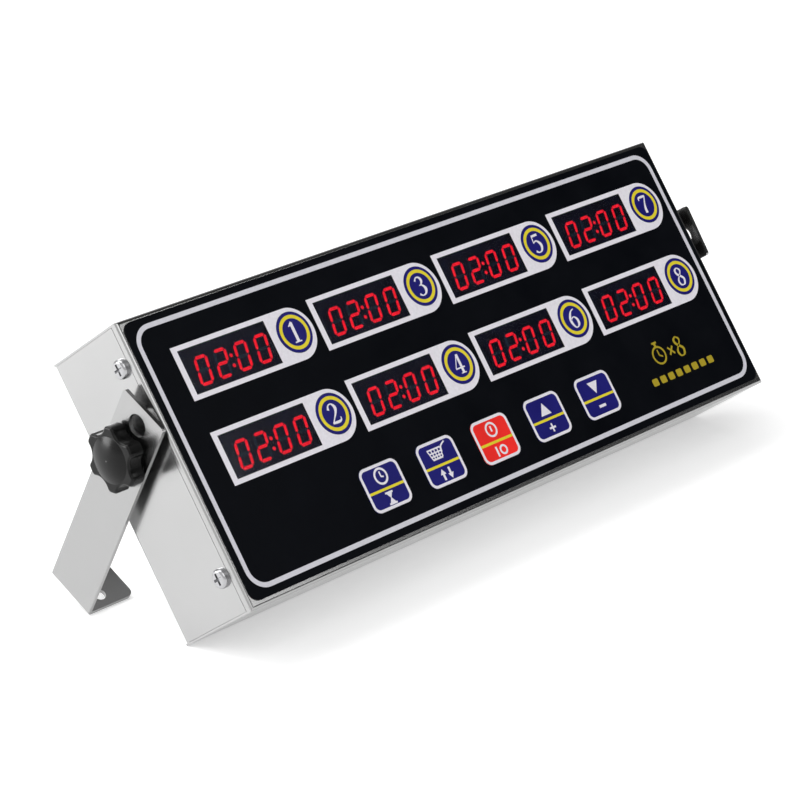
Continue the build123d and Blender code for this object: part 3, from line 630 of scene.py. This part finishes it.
pictures = {
    "time": time_picture,
    "basket": basket_picture,
    "power": power_picture,
    "up": up_picture,
    "down": down_picture,
}
for i, word in enumerate(KEY_WORDS):
    x = KEY_FIRST_X + i * KEY_PITCH
    body = f"key_{word}_cap"
    slot = "key_red" if word == "power" else "key_blue"
    inner_w, inner_h = KEY_W - 2 * KEY_LINE, KEY_H - 2 * KEY_LINE
    outer = rounded(x, KEY_V, KEY_W, KEY_H, KEY_CORNER)
    inner = rounded(x, KEY_V, inner_w, inner_h, KEY_CORNER - KEY_LINE)
    slab(f"key_{word}_outline", *key_print, [outer], white_ink, body, slot, [inner])
    divider = [rectangle(x, KEY_V + DIVIDER_DROP, inner_w, DIVIDER_LINE)]
    slab(f"key_{word}_divider", *key_print, divider, yellow_ink, body, slot)
    picture = [shifted(o, x, KEY_V) for o in pictures[word]()]
    slab(f"key_{word}_picture", *key_print, picture, white_ink, body, slot)

# ------------------------------------------------------------------ gold emblem, lower right
EMBLEM_X = 104.0
EMBLEM_V = -28.6


def emblem():
    """A stopwatch, a cross, an 8 for the number of channels, and eight short bars below them."""
    x, rim, crown = -8.6, 3.9, 5.3
    watch = [ring(x, 0, rim, rim - BROAD), line(x, 0, x, 2.3, PEN), line(x, 0, x + 1.7, -0.9, PEN)]
    watch += [line(x, rim - 0.1, x, crown, 1.2), line(x - 1.4, crown, x + 1.4, crown, BROAD)]
    eight = numeral_strokes(8, x=4.2, y=0.4, height=8.6)
    left, right, arm = -2.6, 0.4, 1.6
    cross = [line(left, -arm, right, arm, BROAD), line(left, arm, right, -arm, BROAD)]
    first, pitch, v, width, height, corner = -17.5, 5.0, -9.4, 3.4, 3.0, 0.6
    bars = [rounded(first + pitch * i, v, width, height, corner, steps=4) for i in range(8)]
    return watch + eight + cross + bars


gold = [shifted(o, EMBLEM_X, EMBLEM_V) for o in emblem()]
slab("print_emblem", *film_print, gold, gold_ink, "housing", "overlay_film")

# ------------------------------------------------------------------ floor, light and camera
FLOOR_SIZE = 6.0
FLOOR_GLOW = 0.45  # the table top is a light box
FLOOR_SHADES = ((0.86, 0.86, 0.86, 1), (0.9, 0.9, 0.9, 1))
floor_shader = Shader("pale_floor", Roughness=0.6, Emission_Strength=FLOOR_GLOW)
soft = floor_shader.noise(floor_shader.coordinates(), scale=3.0, detail=2.0)
pale = floor_shader.mix_colour(floor_shader.spread(soft, 0, 1), *FLOOR_SHADES)
floor_shader.into("Base Color", pale)
floor_shader.into("Emission Color", pale)
floor_corners = [(*corner, 0) for corner in rectangle(0, 0, FLOOR_SIZE, FLOOR_SIZE)]
floor = new_object("floor", floor_corners, [(0, 1, 2, 3)], floor_shader.material)

AIM = Vector((-0.01139, -0.00715, 0.04879))  # what the camera and the lights face
SKY = 0.9
DARK = 0.06
DARK_SIDE = Vector((0.75, -0.38, 0.54)).normalized()  # what the panel mirrors to the camera
DARK_EDGE = 0.4  # cosine of the angle from the dark side at which its shade starts
DARK_FULL = 0.78  # and of the angle within which it is full


def studio():
    """An even white room with one dark side, as a black card to the right of the camera gives."""
    world = bpy.data.worlds.new("studio")
    bpy.context.scene.world = world
    world.use_nodes = True
    tree = world.node_tree
    where = tree.nodes.new("ShaderNodeTexCoord")
    towards = tree.nodes.new("ShaderNodeVectorMath")
    towards.operation = "DOT_PRODUCT"
    towards.inputs[1].default_value = DARK_SIDE
    tree.links.new(where.outputs["Generated"], towards.inputs[0])
    level = tree.nodes.new("ShaderNodeMapRange")
    level.interpolation_type = "SMOOTHSTEP"
    level.inputs["From Min"].default_value = DARK_EDGE
    level.inputs["From Max"].default_value = DARK_FULL
    level.inputs["To Min"].default_value = SKY
    level.inputs["To Max"].default_value = DARK
    tree.links.new(towards.outputs["Value"], level.inputs["Value"])
    tree.links.new(level.outputs["Result"], tree.nodes["Background"].inputs["Strength"])
    tree.nodes["Background"].inputs["Color"].default_value = (1, 1, 1, 1)


studio()


def area_light(name, azimuth, elevation, distance, size, watts):
    """A square soft box that faces the object. Azimuth 0 is in front of it and 90 to its left."""
    data = bpy.data.lights.new(name, "AREA")
    data.shape = "SQUARE"
    data.size = size
    data.energy = watts
    lamp = bpy.data.objects.new(name, data)
    a, e = math.radians(azimuth), math.radians(elevation)
    away = Vector((-math.sin(a) * math.cos(e), -math.cos(a) * math.cos(e), math.sin(e)))
    lamp.location = AIM + away * distance
    lamp.rotation_euler = (-away).to_track_quat("-Z", "Y").to_euler()
    bpy.context.scene.collection.objects.link(lamp)


area_light("back_light", azimuth=155, elevation=55, distance=1.5, size=1.2, watts=10)
area_light("side_light", azimuth=134, elevation=9, distance=1.5, size=0.45, watts=6)
area_light("front_light", azimuth=38, elevation=50, distance=1.5, size=1.0, watts=4.2)
area_light("edge_light", azimuth=326, elevation=33, distance=1.42, size=0.3, watts=1.0)

CAMERA_AZIMUTH = 45.907
CAMERA_ELEVATION = 19.800
CAMERA_ROLL = -2.581
CAMERA_DISTANCE = 1.1177
CAMERA_LENS = 131.98
SENSOR_WIDTH = 36.0


def camera():
    """The camera looks down at the panel from its left, turned very slightly on its axis."""
    data = bpy.data.cameras.new("camera")
    data.sensor_width = SENSOR_WIDTH
    data.lens = CAMERA_LENS
    data.clip_start = 0.05
    data.clip_end = 50.0
    eye = bpy.data.objects.new("camera", data)
    a, e = math.radians(CAMERA_AZIMUTH), math.radians(CAMERA_ELEVATION)
    ahead = Vector((math.sin(a) * math.cos(e), math.cos(a) * math.cos(e), -math.sin(e)))
    level = Vector((math.cos(a), -math.sin(a), 0))
    above = level.cross(ahead)
    roll = math.radians(CAMERA_ROLL)
    right = level * math.cos(roll) + above * math.sin(roll)
    up = above * math.cos(roll) - level * math.sin(roll)
    eye.matrix_world = Matrix.Translation(AIM - ahead * CAMERA_DISTANCE) @ Matrix(
        (right, up, -ahead)
    ).transposed().to_4x4()
    bpy.context.scene.collection.objects.link(eye)
    bpy.context.scene.camera = eye


camera()
bpy.context.scene.view_settings.view_transform = "Standard"
